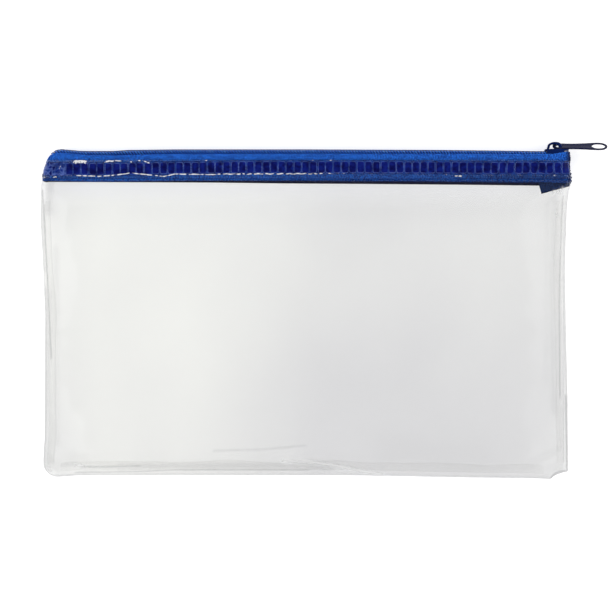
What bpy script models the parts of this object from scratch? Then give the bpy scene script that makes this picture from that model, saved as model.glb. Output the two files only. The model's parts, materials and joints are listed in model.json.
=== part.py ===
"""Clear vinyl cash deposit bag with a nylon coil zip, closed and lying on its back panel.

+X runs along the zip towards its closed end, +Y from the bottom seam to the zip and +Z up from the table.
The origin is on the underside of the back panel, midway along the zip and midway up the bag.
"""

import math

import bmesh
import bpy
from mathutils import Matrix, Vector

MM = 0.001
GAP = 0.3 * MM

# The pouch
BAG_WIDTH = 241.2 * MM
BAG_BOTTOM_Y = -75.4 * MM
PANEL_TOP_Y = 70.3 * MM
CORNER_RADIUS = 6.0 * MM
VINYL = 0.5 * MM
BACK_SEAM_LIFT = 1.2 * MM
SEAM_Z = BACK_SEAM_LIFT + VINYL + GAP
BACK_EDGE_RUN = 8.0 * MM
FRONT_EDGE_RUN = 25.0 * MM
LOW_POUCH_Z = 6.6 * MM
MOUTH_ZONE = (38.0 * MM, 58.0 * MM)
PANEL_COLUMNS = 28
PANEL_ROWS = 18

# The turned-in weld allowance of the side and bottom seams
ALLOWANCE_START = 2.0 * MM
ALLOWANCE = 3.0 * MM
ALLOWANCE_PLIES = 0.65 * MM
ALLOWANCE_Z = 1.6 * MM
SIDE_ALLOWANCE_TOP_Y = 50.0 * MM
BOTTOM_ALLOWANCE_INSET = 9.0 * MM

# The zip: two woven tapes that fold down inside the panels, and two coils
TAPE = 0.5 * MM
TAPE_HALF_SPREAD = 4.3 * MM
TAPE_WEB_Y = 71.7 * MM
TAPE_BOTTOM_Y = 60.7 * MM
TAPE_BEND = 1.1 * MM
TAPE_BEND_STEPS = 5
TAPE_END_INSET = 0.5 * MM
TAPE_INNER_GAP = 0.15 * MM
TAPE_TAIL_CORNERS = ((106.8, 59.6), (108.0, 54.8), (118.4, 57.9), (118.6, 59.6))
CHAIN_Z = VINYL + GAP + TAPE + TAPE_HALF_SPREAD
FRONT_PANEL_Z = CHAIN_Z + TAPE_HALF_SPREAD + TAPE + GAP

COIL_BOTTOM_Y = TAPE_WEB_Y + TAPE + GAP
COIL_TOP_Y = 74.5 * MM
COIL_OUTER = 2.9 * MM
COIL_SPINE = 0.8 * MM
TOOTH_REACH = 0.6 * MM
TOOTH_PITCH = 2.7 * MM
TOOTH_LENGTH = 0.95 * MM
CORD_BORE_RADIUS = 0.72 * MM
CORD_RADIUS = 0.42 * MM
THREAD_RADIUS = 0.15 * MM

# The slider
SLIDER_TAIL_X = 109.8 * MM
SLIDER_NOSE_X = 119.2 * MM
PLATE = 0.8 * MM
PLATE_ROUNDING = 0.25 * MM
TOP_PLATE_Y = COIL_TOP_Y + GAP
BOTTOM_PLATE_Y = TAPE_WEB_Y - GAP - PLATE
PLATE_HALF_WIDTH = 3.9 * MM
TAIL_HALF_WIDTH = 3.7 * MM
FLANGE = 0.6 * MM
FLANGE_END_INSET = 0.3 * MM
FLANGE_BOTTOM_Y = TAPE_WEB_Y + TAPE + GAP
DIAMOND_TAIL_X = 114.6 * MM
DIAMOND_HALF_WIDTH = 1.1 * MM
DIAMOND_POINT = 0.3
BRIDGE_RADIUS = 1.85 * MM
BRIDGE_WIRE = 0.5 * MM
BRIDGE_STEPS = 8

# The pull tab hangs in the bridge and turns about the bridge's centre
PULL_X = 114.4 * MM
PULL_Y = 77.0 * MM
TAB = 0.7 * MM
TAB_ROLL = math.radians(28.0)
TAB_CURVE_STEPS = 5
TAB_OUTLINE = (
    (-0.7, 0.0),
    (-0.5, 1.3),
    (0.8, 1.85),
    (3.2, 1.75),
    (6.0, 1.5),
    (13.0, 1.95),
    (19.0, 2.6),
    (22.6, 2.0),
    (24.3, 0.0),
)
TAB_EYE = ((0.6, 0.0), (1.9, 1.15), (3.3, 0.0))
TAB_SLOT = ((17.2, 0.0), (18.3, 1.55), (20.6, 1.85), (22.3, 1.2), (23.2, 0.0))

HALF_WIDTH = BAG_WIDTH / 2
COIL_START_X = -HALF_WIDTH + 4.0 * MM
COIL_END_X = DIAMOND_TAIL_X - GAP


def clear_scene():
    for obj in list(bpy.data.objects):
        bpy.data.objects.remove(obj)


def collection(name):
    made = bpy.data.collections.new(name)
    bpy.context.scene.collection.children.link(made)
    return made


def material(name, colour, roughness, metallic=0.0, alpha=1.0):
    made = bpy.data.materials.new(name)
    made.use_nodes = True
    shader = made.node_tree.nodes["Principled BSDF"]
    shader.inputs["Base Color"].default_value = (*colour, 1.0)
    shader.inputs["Roughness"].default_value = roughness
    shader.inputs["Metallic"].default_value = metallic
    shader.inputs["Alpha"].default_value = alpha
    return made


def object_from(bm, name, where, surface=None):
    mesh = bpy.data.meshes.new(name)
    bm.to_mesh(mesh)
    bm.free()
    obj = bpy.data.objects.new(name, mesh)
    where.objects.link(obj)
    if surface:
        mesh.materials.append(surface)
    return obj


def box(name, low, high, where, surface=None):
    """A box between two corners."""
    bm = bmesh.new()
    bmesh.ops.create_cube(bm, size=1.0)
    low, high = Vector(low), Vector(high)
    bmesh.ops.scale(bm, vec=high - low, verts=bm.verts)
    bmesh.ops.translate(bm, vec=(low + high) / 2, verts=bm.verts)
    return object_from(bm, name, where, surface)


def round_edges(obj, width):
    rounding = obj.modifiers.new("rounded_edges", "BEVEL")
    rounding.width = width
    rounding.segments = 2


def rod_along_x(name, start_x, end_x, y, z, radius, where, surface=None):
    """A straight round rod, such as a cord, a thread or the cutter of a bore."""
    bm = bmesh.new()
    bmesh.ops.create_cone(
        bm,
        cap_ends=True,
        segments=10,
        radius1=radius,
        radius2=radius,
        depth=end_x - start_x,
        matrix=Matrix.Rotation(math.pi / 2, 4, "Y"),
    )
    bmesh.ops.translate(bm, vec=((start_x + end_x) / 2, y, z), verts=bm.verts)
    obj = object_from(bm, name, where, surface)
    obj.data.shade_smooth()
    obj.data.set_sharp_from_angle(angle=math.radians(40))
    return obj


def boolean(obj, other, operation):
    other.hide_render = True
    other.display_type = "WIRE"
    step = obj.modifiers.new(f"{operation.lower()}_{other.name}", "BOOLEAN")
    step.operation = operation
    step.object = other
    step.solver = "EXACT"


def move_origin(obj, point):
    """Puts the object's origin on a joint's axis without moving its shape."""
    obj.data.transform(Matrix.Translation(-Vector(point)))
    obj.location = point


def blend_in(value, start, end):
    """0 up to start, 1 from end, and a smooth ramp between them."""
    share = min(1.0, max(0.0, (value - start) / (end - start)))
    return share * share * (3.0 - 2.0 * share)


def edge_rise(distance, run):
    """How far a panel has risen from its seam at this distance from it, from 0 to 1."""
    return math.sin(math.pi / 2 * min(1.0, distance / run))


def half_width_at(y):
    """Half the bag's width at this height, with its rounded bottom corners."""
    up = y - BAG_BOTTOM_Y
    if up >= CORNER_RADIUS:
        return HALF_WIDTH
    return HALF_WIDTH - CORNER_RADIUS + math.sqrt(CORNER_RADIUS**2 - (CORNER_RADIUS - up) ** 2)


def panel(name, height_at, where, surface):
    """A vinyl sheet over the bag's outline whose underside is at height_at(x, y)."""
    bm = bmesh.new()
    bmesh.ops.create_grid(bm, x_segments=PANEL_COLUMNS, y_segments=PANEL_ROWS, size=1.0)
    for vert in bm.verts:
        across = math.sin(math.pi / 2 * vert.co.x)
        up = 0.5 + 0.5 * vert.co.y
        y = BAG_BOTTOM_Y + (PANEL_TOP_Y - BAG_BOTTOM_Y) * up**1.3
        x = half_width_at(y) * across
        vert.co = (x, y, height_at(x, y))
    obj = object_from(bm, name, where, surface)
    obj.data.shade_smooth()
    sheet = obj.modifiers.new("vinyl_thickness", "SOLIDIFY")
    sheet.thickness = VINYL
    sheet.offset = 1.0
    return obj


def seam_distance(x, y):
    return max(0.0, min(half_width_at(y) - abs(x), y - BAG_BOTTOM_Y))


def back_height(x, y):
    at_mouth = blend_in(y, *MOUTH_ZONE)
    return BACK_SEAM_LIFT * (1.0 - at_mouth) * (1.0 - edge_rise(seam_distance(x, y), BACK_EDGE_RUN))


def front_height(x, y):
    at_mouth = blend_in(y, *MOUTH_ZONE)
    pouch = LOW_POUCH_Z + (FRONT_PANEL_Z - LOW_POUCH_Z) * blend_in(y, BAG_BOTTOM_Y, MOUTH_ZONE[1])
    edge = SEAM_Z + (FRONT_PANEL_Z - SEAM_Z) * at_mouth
    return edge + (pouch - edge) * edge_rise(seam_distance(x, y), FRONT_EDGE_RUN)


def make_panels(bag, vinyl):
    panel("back_panel", back_height, bag, vinyl)
    front = panel("front_panel", front_height, bag, vinyl)
    move_origin(front, (0.0, BAG_BOTTOM_Y, SEAM_Z))


def make_seam_allowances(bag, vinyl):
    near = ALLOWANCE_START
    far = ALLOWANCE_START + ALLOWANCE
    low_z = ALLOWANCE_Z
    high_z = ALLOWANCE_Z + ALLOWANCE_PLIES
    side_bottom_y = BAG_BOTTOM_Y + far + CORNER_RADIUS / 2
    for name, side in (("left_seam_allowance", -1), ("right_seam_allowance", 1)):
        ends = sorted((side * (HALF_WIDTH - near), side * (HALF_WIDTH - far)))
        low = (ends[0], side_bottom_y, low_z)
        high = (ends[1], SIDE_ALLOWANCE_TOP_Y, high_z)
        box(name, low, high, bag, vinyl)
    reach = HALF_WIDTH - BOTTOM_ALLOWANCE_INSET
    low = (-reach, BAG_BOTTOM_Y + near, low_z)
    high = (reach, BAG_BOTTOM_Y + far, high_z)
    box("bottom_seam_allowance", low, high, bag, vinyl)


def tape_profile(side):
    """The tape's inner face as (y, z): out from the coil, round the fold and down inside the panel."""
    points = [(TAPE_WEB_Y, CHAIN_Z + side * TAPE_INNER_GAP)]
    fold_y = TAPE_WEB_Y - TAPE_BEND
    fold_z = TAPE_HALF_SPREAD - TAPE_BEND
    for step in range(TAPE_BEND_STEPS + 1):
        angle = math.pi / 2 * step / TAPE_BEND_STEPS
        y = fold_y + TAPE_BEND * math.cos(angle)
        z = CHAIN_Z + side * (fold_z + TAPE_BEND * math.sin(angle))
        points.append((y, z))
    points.append((TAPE_BOTTOM_Y, CHAIN_Z + side * TAPE_HALF_SPREAD))
    return points


def tape(name, side, where, surface, notch):
    """A woven tape, swept straight along X from its profile and notched round the slider's diamond."""
    bm = bmesh.new()
    start_x = -HALF_WIDTH + TAPE_END_INSET
    end_x = HALF_WIDTH - TAPE_END_INSET
    line = [bm.verts.new((start_x, y, z)) for y, z in tape_profile(side)]
    edges = [bm.edges.new(pair) for pair in zip(line, line[1:])]
    swept = bmesh.ops.extrude_edge_only(bm, edges=edges)
    moved = [item for item in swept["geom"] if isinstance(item, bmesh.types.BMVert)]
    bmesh.ops.translate(bm, vec=(end_x - start_x, 0, 0), verts=moved)
    obj = object_from(bm, name, where, surface)
    cloth = obj.modifiers.new("tape_thickness", "SOLIDIFY")
    cloth.thickness = TAPE
    cloth.offset = -side
    cloth.use_even_offset = True
    boolean(obj, notch, "DIFFERENCE")
    return obj


def coil(name, side, where, surface, cutters):
    """One side's coil as a toothed strip, hollow for its cord. The two sides' teeth take turns."""
    bm = bmesh.new()
    spine_z = CHAIN_Z + side * COIL_SPINE
    outer_z = CHAIN_Z + side * COIL_OUTER
    tip_z = CHAIN_Z - side * TOOTH_REACH
    first_x = COIL_START_X + TOOTH_PITCH * (0.5 if side > 0 else 1.0)
    outline = [(COIL_START_X, outer_z), (COIL_START_X, spine_z)]
    x = first_x
    while x + TOOTH_LENGTH < COIL_END_X:
        outline += [(x, spine_z), (x, tip_z), (x + TOOTH_LENGTH, tip_z), (x + TOOTH_LENGTH, spine_z)]
        x += TOOTH_PITCH
    outline += [(COIL_END_X, spine_z), (COIL_END_X, outer_z)]
    face = bm.faces.new([bm.verts.new((px, COIL_BOTTOM_Y, pz)) for px, pz in outline])
    raised = bmesh.ops.extrude_face_region(bm, geom=[face])
    moved = [item for item in raised["geom"] if isinstance(item, bmesh.types.BMVert)]
    bmesh.ops.translate(bm, vec=(0, COIL_TOP_Y - COIL_BOTTOM_Y, 0), verts=moved)
    bmesh.ops.recalc_face_normals(bm, faces=bm.faces)
    obj = object_from(bm, name, where, surface)
    cord_y = (COIL_BOTTOM_Y + COIL_TOP_Y) / 2
    cord_z = (spine_z + outer_z) / 2
    bore_ends = (COIL_START_X - MM, COIL_END_X + MM)
    bore = rod_along_x(f"{name}_bore", *bore_ends, cord_y, cord_z, CORD_BORE_RADIUS, cutters)
    boolean(obj, bore, "DIFFERENCE")
    rod_along_x(f"{name}_cord", COIL_START_X, COIL_END_X, cord_y, cord_z, CORD_RADIUS, where, surface)


def make_zip(bag, cutters, weave, nylon, thread):
    notch_low = (DIAMOND_TAIL_X - GAP, TAPE_WEB_Y - MM, CHAIN_Z - DIAMOND_HALF_WIDTH - GAP)
    notch_high = (HALF_WIDTH + MM, TAPE_WEB_Y + MM, CHAIN_Z + DIAMOND_HALF_WIDTH + GAP)
    notch = box("diamond_notch", notch_low, notch_high, cutters)
    stitch_ends = (COIL_START_X, SLIDER_TAIL_X - GAP)
    stitch_y = COIL_BOTTOM_Y - GAP / 2 + THREAD_RADIUS
    for half, side in (("front", 1), ("back", -1)):
        tape(f"{half}_tape", side, bag, weave, notch)
        coil(f"{half}_coil", side, bag, nylon, cutters)
        stitch_z = CHAIN_Z + side * (COIL_OUTER + GAP / 2 + THREAD_RADIUS)
        name = f"{half}_coil_stitching"
        rod_along_x(name, *stitch_ends, stitch_y, stitch_z, THREAD_RADIUS, bag, thread)


def make_tape_tail(bag, weave):
    """The zip's trimmed end, folded down inside the bag at the closed end of the mouth."""
    outline = bpy.data.curves.new("tape_tail", "CURVE")
    outline.dimensions = "2D"
    outline.fill_mode = "BOTH"
    outline.extrude = TAPE / 2
    spline = outline.splines.new("POLY")
    spline.points.add(len(TAPE_TAIL_CORNERS) - 1)
    for point, (x, y) in zip(spline.points, TAPE_TAIL_CORNERS):
        point.co = (x * MM, y * MM, 0.0, 1.0)
    spline.use_cyclic_u = True
    obj = bpy.data.objects.new("tape_tail", outline)
    obj.location.z = CHAIN_Z
    outline.materials.append(weave)
    bag.objects.link(obj)


def slider_plate(name, low_y, where, surface=None):
    """A plate of the slider, a little narrower at its tail."""
    low = (SLIDER_TAIL_X, low_y, CHAIN_Z - PLATE_HALF_WIDTH)
    high = (SLIDER_NOSE_X, low_y + PLATE, CHAIN_Z + PLATE_HALF_WIDTH)
    obj = box(name, low, high, where, surface)
    narrowing = TAIL_HALF_WIDTH / PLATE_HALF_WIDTH
    for vert in obj.data.vertices:
        if vert.co.x < PULL_X:
            vert.co.z = CHAIN_Z + narrowing * (vert.co.z - CHAIN_Z)
    round_edges(obj, PLATE_ROUNDING)
    return obj


def bridge(name, where):
    """The arch on the slider's top plate that holds the pull tab, as a closed mesh."""
    wire = bpy.data.curves.new(name, "CURVE")
    wire.dimensions = "3D"
    wire.bevel_depth = BRIDGE_WIRE
    wire.bevel_resolution = 2
    wire.use_fill_caps = True
    foot_y = TOP_PLATE_Y + PLATE / 2
    points = [(BRIDGE_RADIUS, foot_y - PULL_Y)]
    for step in range(BRIDGE_STEPS + 1):
        angle = math.pi * step / BRIDGE_STEPS
        points.append((BRIDGE_RADIUS * math.cos(angle), BRIDGE_RADIUS * math.sin(angle)))
    points.append((-BRIDGE_RADIUS, foot_y - PULL_Y))
    spline = wire.splines.new("POLY")
    spline.points.add(len(points) - 1)
    for point, (x, y) in zip(spline.points, points):
        point.co = (x, y, 0.0, 1.0)
    guide = bpy.data.objects.new(f"{name}_guide", wire)
    where.objects.link(guide)
    graph = bpy.context.evaluated_depsgraph_get()
    mesh = bpy.data.meshes.new_from_object(guide.evaluated_get(graph))
    bpy.data.objects.remove(guide)
    bm = bmesh.new()
    bm.from_mesh(mesh)
    bmesh.ops.remove_doubles(bm, verts=bm.verts, dist=0.01 * MM)
    bmesh.ops.translate(bm, vec=(PULL_X, PULL_Y, CHAIN_Z), verts=bm.verts)
    return object_from(bm, name, where)


def make_slider(bag, cutters, paint):
    body = slider_plate("slider_body", TOP_PLATE_Y, bag, paint)
    move_origin(body, (PULL_X, TOP_PLATE_Y, CHAIN_Z))
    boolean(body, slider_plate("slider_bottom_plate", BOTTOM_PLATE_Y, cutters), "UNION")
    for name, side in (("slider_front_flange", 1), ("slider_back_flange", -1)):
        ends = sorted((CHAIN_Z + side * (TAIL_HALF_WIDTH - FLANGE), CHAIN_Z + side * TAIL_HALF_WIDTH))
        low = (SLIDER_TAIL_X + FLANGE_END_INSET, FLANGE_BOTTOM_Y, ends[0])
        high = (SLIDER_NOSE_X - FLANGE_END_INSET, TOP_PLATE_Y + PLATE / 2, ends[1])
        boolean(body, box(name, low, high, cutters), "UNION")
    low = (DIAMOND_TAIL_X, BOTTOM_PLATE_Y + PLATE / 2, CHAIN_Z - DIAMOND_HALF_WIDTH)
    high = (SLIDER_NOSE_X - FLANGE_END_INSET, TOP_PLATE_Y + PLATE / 2, CHAIN_Z + DIAMOND_HALF_WIDTH)
    diamond = box("slider_diamond", low, high, cutters)
    for vert in diamond.data.vertices:
        if vert.co.x < SLIDER_NOSE_X - MM:
            vert.co.z = CHAIN_Z + DIAMOND_POINT * (vert.co.z - CHAIN_Z)
    boolean(body, diamond, "UNION")
    boolean(body, bridge("slider_bridge", cutters), "UNION")


def add_outline(curve, half):
    """A closed outline through the half's points and their mirror images across the tab's centre line."""
    mirrored = [(x, -y) for x, y in reversed(half) if y > 0]
    points = list(half) + mirrored
    spline = curve.splines.new("BEZIER")
    spline.bezier_points.add(len(points) - 1)
    for knot, (x, y) in zip(spline.bezier_points, points):
        knot.co = (x * MM, y * MM, 0.0)
        knot.handle_left_type = "AUTO"
        knot.handle_right_type = "AUTO"
    spline.use_cyclic_u = True
    spline.resolution_u = TAB_CURVE_STEPS


def make_pull_tab(bag, paint):
    plate = bpy.data.curves.new("pull_tab", "CURVE")
    plate.dimensions = "2D"
    plate.fill_mode = "BOTH"
    plate.extrude = TAB / 2
    for half in (TAB_OUTLINE, TAB_EYE, TAB_SLOT):
        add_outline(plate, half)
    plate.materials.append(paint)
    obj = bpy.data.objects.new("pull_tab", plate)
    obj.location = (PULL_X, PULL_Y, CHAIN_Z)
    obj.rotation_euler = (math.pi / 2 + TAB_ROLL, 0.0, 0.0)
    bag.objects.link(obj)


def main():
    clear_scene()
    bag = collection("cash_deposit_bag")
    cutters = collection("cutters")
    vinyl = material("clear_vinyl", (0.88, 0.89, 0.9), 0.08, alpha=0.35)
    weave = material("blue_weave", (0.02, 0.06, 0.4), 0.8)
    nylon = material("blue_nylon", (0.01, 0.04, 0.3), 0.45)
    thread = material("blue_thread", (0.02, 0.05, 0.32), 0.7)
    paint = material("navy_paint", (0.01, 0.03, 0.13), 0.35, 0.3)
    make_panels(bag, vinyl)
    make_seam_allowances(bag, vinyl)
    make_zip(bag, cutters, weave, nylon, thread)
    make_tape_tail(bag, weave)
    make_slider(bag, cutters, paint)
    make_pull_tab(bag, paint)


main()
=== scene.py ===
"""The finished look of the clear vinyl cash deposit bag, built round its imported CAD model.

+X runs along the zip to its closed end, +Y from the bottom seam to the zip, +Z up from the table.
"""

import json
import math

import bmesh
import bpy
import numpy as np
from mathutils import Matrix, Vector, noise


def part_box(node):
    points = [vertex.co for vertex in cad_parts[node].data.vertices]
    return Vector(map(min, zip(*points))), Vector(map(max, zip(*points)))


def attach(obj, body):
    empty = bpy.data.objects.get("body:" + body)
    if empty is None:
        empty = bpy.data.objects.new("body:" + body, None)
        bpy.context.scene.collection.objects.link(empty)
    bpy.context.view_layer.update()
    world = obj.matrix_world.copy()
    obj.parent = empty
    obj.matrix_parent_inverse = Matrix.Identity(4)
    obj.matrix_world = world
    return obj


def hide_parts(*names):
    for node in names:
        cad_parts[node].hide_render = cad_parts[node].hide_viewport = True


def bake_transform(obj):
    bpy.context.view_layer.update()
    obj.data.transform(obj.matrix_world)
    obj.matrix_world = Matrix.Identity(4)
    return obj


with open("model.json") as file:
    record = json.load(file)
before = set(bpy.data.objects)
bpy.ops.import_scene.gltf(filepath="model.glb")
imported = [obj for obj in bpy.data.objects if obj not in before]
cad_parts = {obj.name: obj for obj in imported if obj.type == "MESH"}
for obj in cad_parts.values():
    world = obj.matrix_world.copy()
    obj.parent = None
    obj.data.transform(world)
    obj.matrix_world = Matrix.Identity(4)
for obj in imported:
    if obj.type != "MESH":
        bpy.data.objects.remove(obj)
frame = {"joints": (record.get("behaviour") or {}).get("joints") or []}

MM = 0.001
BACK, LIP, SLIDER, PULL = "bag_back", "front_lip", "slider", "pull"

# Places read from the CAD frame
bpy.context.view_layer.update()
back_low, back_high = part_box("back_panel")
_, tape_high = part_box("front_tape")
coil_low, coil_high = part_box("front_coil")
slider_low, slider_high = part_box("slider_body")
joints = {joint["name"]: joint for joint in frame["joints"]}
PULL_PIVOT = Vector(joints["pull_tab_swing"]["pos_m"])
SEAM_Z = joints["mouth_open"]["pos_m"][2]
CHAIN_Z = PULL_PIVOT.z
PANEL_TOP_Y = back_high.y
PANEL_BOTTOM_Y = back_low.y
TAPE_SPREAD = tape_high.z - CHAIN_Z
COIL_START_X = coil_low.x
COIL_END_X = coil_high.x

# Vinyl
VINYL = 0.3 * MM
SEAM_GAP = 0.02 * MM
MOUTH_TOP_Z = 10.95 * MM
STRIP_Y = 61.8 * MM
CELL_PITCH = 3.6 * MM
CELL_HALF_WIDTH = 1.55 * MM
CELL_HALF_HEIGHT = 2.5 * MM
CELL_ROW_Y = 66.75 * MM
CELL_DEPTH = 0.16 * MM
LIP_Y = 69.95 * MM
BEAD_Y = 63.75 * MM

# Zip
COIL_PITCH = 1.35 * MM
COIL_WIRE = 0.26 * MM
TAPE = 0.42 * MM
PLATE = 0.8 * MM
POST_HALF_WIDTH = 0.35 * MM

# Studio light: strengths, then each soft box's name, place, size and power
HORIZON_LIGHT = 0.42
RING_LIGHT = 0.68
OVERHEAD_LIGHT = 0.2
FLOOR_GLOW = 0.58
VIEW_HEIGHT = 0.85
VIEW_WIDTH = 279.4 * MM
LIGHTS = (
    ("key_softbox", (-0.8, -0.55, 1.0), 1.2, 4.2),
    ("fill_softbox", (0.9, -0.4, 1.1), 1.3, 3.2),
    ("rim_softbox", (0.1, 0.9, 0.9), 1.0, 1.5),
)

# The bag's outline, as (y, x) along each side and (x, y) along the bottom, in millimetres
LEFT_EDGE = (
    (-76.0, -120.7),
    (-67.0, -121.0),
    (-56.0, -120.4),
    (0.0, -120.2),
    (22.0, -121.1),
    (45.0, -122.0),
    (59.5, -121.6),
    (61.5, -120.7),
    (65.7, -120.4),
    (67.6, -119.6),
    (70.3, -118.8),
)
RIGHT_EDGE = (
    (-76.0, 121.1),
    (-40.0, 121.0),
    (-20.0, 120.5),
    (20.0, 119.7),
    (48.0, 120.2),
    (56.0, 120.9),
    (59.4, 122.0),
    (63.0, 122.0),
    (65.6, 121.4),
    (68.5, 121.0),
    (70.7, 121.3),
)
BOTTOM_EDGE = (
    (-122.0, -75.6),
    (-104.0, -74.5),
    (20.0, -74.5),
    (62.0, -75.3),
    (100.0, -75.8),
    (122.0, -76.4),
)

# Lines along the zip, as (x, y) in millimetres: how high the chain stands above its nominal line (it is low
# where the slider stands at each end of its travel, and between them it is too high for the casting),
# the crest of the tapes' fold, the selvedge of each tape and the drift of the ladder weld
CHAIN_LIFT = (
    (-119.5, -6.5),
    (-118.6, -4.6),
    (-117.7, -2.6),
    (-116.6, -1.0),
    (-114.3, 0.6),
    (-112.0, 0.95),
    (-103.0, 0.2),
    (-101.0, 0.12),
    (-88.5, 0.12),
    (-81.0, 0.6),
    (-60.0, 0.85),
    (0.0, 0.85),
    (60.0, 0.6),
    (88.0, 0.3),
    (104.0, 0.05),
    (119.0, 0.0),
)
FOLD_CREST = (
    (-120.6, 64.5),
    (-120.2, 66.2),
    (-119.4, 68.2),
    (-118.7, 70.2),
    (-117.8, 72.0),
    (-116.6, 73.2),
    (-114.5, 74.0),
    (-111.0, 74.0),
    (-99.0, 73.0),
    (-84.0, 73.0),
    (-60.0, 73.6),
    (0.0, 73.7),
    (100.0, 73.6),
    (113.0, 73.65),
    (117.0, 74.3),
    (120.4, 74.9),
    (121.3, 74.5),
    (122.0, 73.1),
)
FRONT_SELVEDGE = (
    (-121.0, 60.9),
    (-96.0, 60.4),
    (-60.0, 60.9),
    (-20.0, 61.0),
    (34.0, 61.3),
    (73.0, 61.0),
    (106.0, 60.4),
    (122.0, 59.8),
)
BACK_SELVEDGE = (
    (-121.0, 61.0),
    (-45.0, 60.7),
    (-10.0, 60.3),
    (34.0, 60.0),
    (73.0, 59.7),
    (106.0, 59.3),
    (122.0, 59.3),
)
BEAD_LINE = (
    (-122.0, 63.4),
    (-105.5, 63.3),
    (-94.5, 62.9),
    (-86.0, 63.5),
    (-80.0, 64.5),
    (-76.0, 64.0),
    (-64.5, 62.9),
    (-60.0, 63.9),
    (-44.0, 63.7),
    (-36.0, 64.1),
    (20.0, 64.3),
    (75.0, 63.7),
    (122.0, 63.6),
)
WELD_DRIFT = ((-121.0, -0.45), (-90.0, -0.45), (-30.0, 0.35), (30.0, 0.4), (80.0, 0.1), (122.0, 0.0))

# Shade painted on the front panel as a grey tint, where its folds and welded edges gather shade: points,
# width and strength
SHADE_LINES = (
    (((-120.4, 56), (-119.4, 30), (-118.3, 6.4), (-117.1, -20)), 0.36, 0.95),
    (((-121.6, 56), (-120.4, 20)), 1.2, 0.3),
    (((-117.0, 60), (-118.4, 47)), 2.6, 0.4),
    (((-120.2, 10), (-120.6, -70)), 2.6, 0.5),
    (((-114.6, 30), (-114.2, -60)), 1.7, 0.13),
    (((117.7, 54), (116.7, 5), (117.2, -38)), 0.32, 0.8),
    (((119.0, 46), (119.1, -68)), 0.3, 0.4),
    (((114.0, 52), (113.2, 10), (114.4, -45)), 1.6, 0.2),
    (((120.1, -38), (120.5, -55), (120.9, -72)), 0.6, 1.0),
    (((110.8, 50), (110.8, -30)), 1.3, 0.1),
    (((113.4, -75.4), (115, -73.7), (117.2, -72.8), (119.5, -72.5), (121, -72.8)), 0.55, 1.0),
    (((-120.6, -70), (-119.8, -73), (-116, -75.2)), 0.4, 0.5),
    (((-86, -70.6), (-60, -69.9), (0, -69.9), (12, -71.2)), 1.5, 0.33),
    (((-106, -73.1), (-80, -72.8), (-60, -71.9), (2, -71.8)), 0.35, 0.7),
    (((-119, -74.6), (-60, -73.6), (20, -73.8), (70, -74.6), (112, -75.4)), 1.0, 0.3),
    (((2, -67.1), (16, -69.4), (24, -71.1)), 0.4, 0.3),
    (((-103, -70.4), (-90, -70.5), (-76, -69.9)), 0.5, 0.75),
    (((-112, -69.6), (-106, -69.2)), 1.0, 0.3),
    (((-42, -63), (-20, -62.4), (0, -60.6)), 0.6, 0.3),
    (((38, -62), (78, -66)), 8.0, 0.1),
)
# Highlights painted on the front panel as white, where its folds and welded edges catch the light: points,
# width and strength
PAINTED_HIGHLIGHTS = (
    (((-10, -67.7), (0, -67.9), (7.7, -68.9), (15.6, -70.1), (23.5, -71.8), (34.6, -73.9)), 0.45, 1.0),
    (((-105.5, -69.7), (-103.5, -69.3)), 0.35, 0.9),
    (((-105.5, -69.8), (-102, -70.0)), 0.3, 0.8),
    (((-118.6, -70.8), (-117.4, -72.6)), 0.35, 0.7),
    (((113.0, 55.5), (114.2, 55.3)), 0.4, 0.8),
    (((115.4, 56.2), (117.2, 56.9)), 0.5, 0.9),
    (((115.1, 46.4), (115.5, 46.2)), 0.5, 0.9),
)
# Highlights painted the same way on the loose lip above the ladder weld and the melted start of the weld
LIP_GLINTS = (
    (((-105.2, 69.3), (-104.0, 69.9), (-100.8, 69.8)), 0.85, 1.0),
    (((-100.8, 69.2), (-100.5, 68.8)), 0.4, 0.8),
    (((-91.6, 69.5), (-89.6, 69.9), (-87.8, 69.9)), 0.4, 1.0),
    (((-86.9, 70.2), (-84.4, 69.9)), 0.3, 0.8),
    (((-80.1, 69.8), (-79.5, 69.4)), 0.3, 0.9),
    (((-76.3, 70.2), (-75.3, 70.0)), 0.3, 0.8),
    (((-73.7, 69.9), (-72.6, 69.4), (-71.3, 69.0)), 0.25, 0.8),
    (((-45.6, 70.2), (-45.2, 70.2)), 0.3, 0.8),
    (((3.0, 70.4), (3.4, 70.4)), 0.35, 0.8),
    (((11.2, 70.4), (11.6, 70.3)), 0.35, 0.9),
    (((-119.6, 62.6), (-118.4, 61.9), (-117.2, 62.7)), 0.25, 0.8),
    (((-115.8, 61.9), (-114.2, 62.9), (-113.4, 62.0)), 0.22, 0.9),
    (((-112.6, 66.2), (-111.8, 67.6)), 0.22, 0.6),
    (((68.5, 63.1), (71.0, 63.0)), 0.3, 0.9),
)

# Creases in the front panel: two ends, width and height in millimetres
CREASES = (
    ((-7, -68), (22, -71.5), 2.2, 0.45),
    ((22, -71.5), (40, -73.4), 1.8, 0.4),
    ((-110, -69), (-60, -70.5), 2.6, 0.35),
    ((-118, -71), (-108, -66), 1.6, 0.6),
    ((108, -69), (118, -63), 2.0, 0.5),
    ((112, 50), (118, 57), 1.8, 0.6),
    ((-70, -30), (10, 12), 30.0, 0.7),
    ((20, -52), (78, 28), 26.0, -0.6),
)


def ramp(value, start, end):
    """0 up to start and 1 past end, with a smooth rise between them.
    It runs downwards if start is above end."""
    share = np.clip((value - start) / (end - start), 0.0, 1.0)
    return share * share * (3.0 - 2.0 * share)


def through(knots, value):
    """A line through knots in millimetres, at values in metres."""
    ats, heights = np.array(knots).T * MM
    return np.interp(value, ats, heights)


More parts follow.
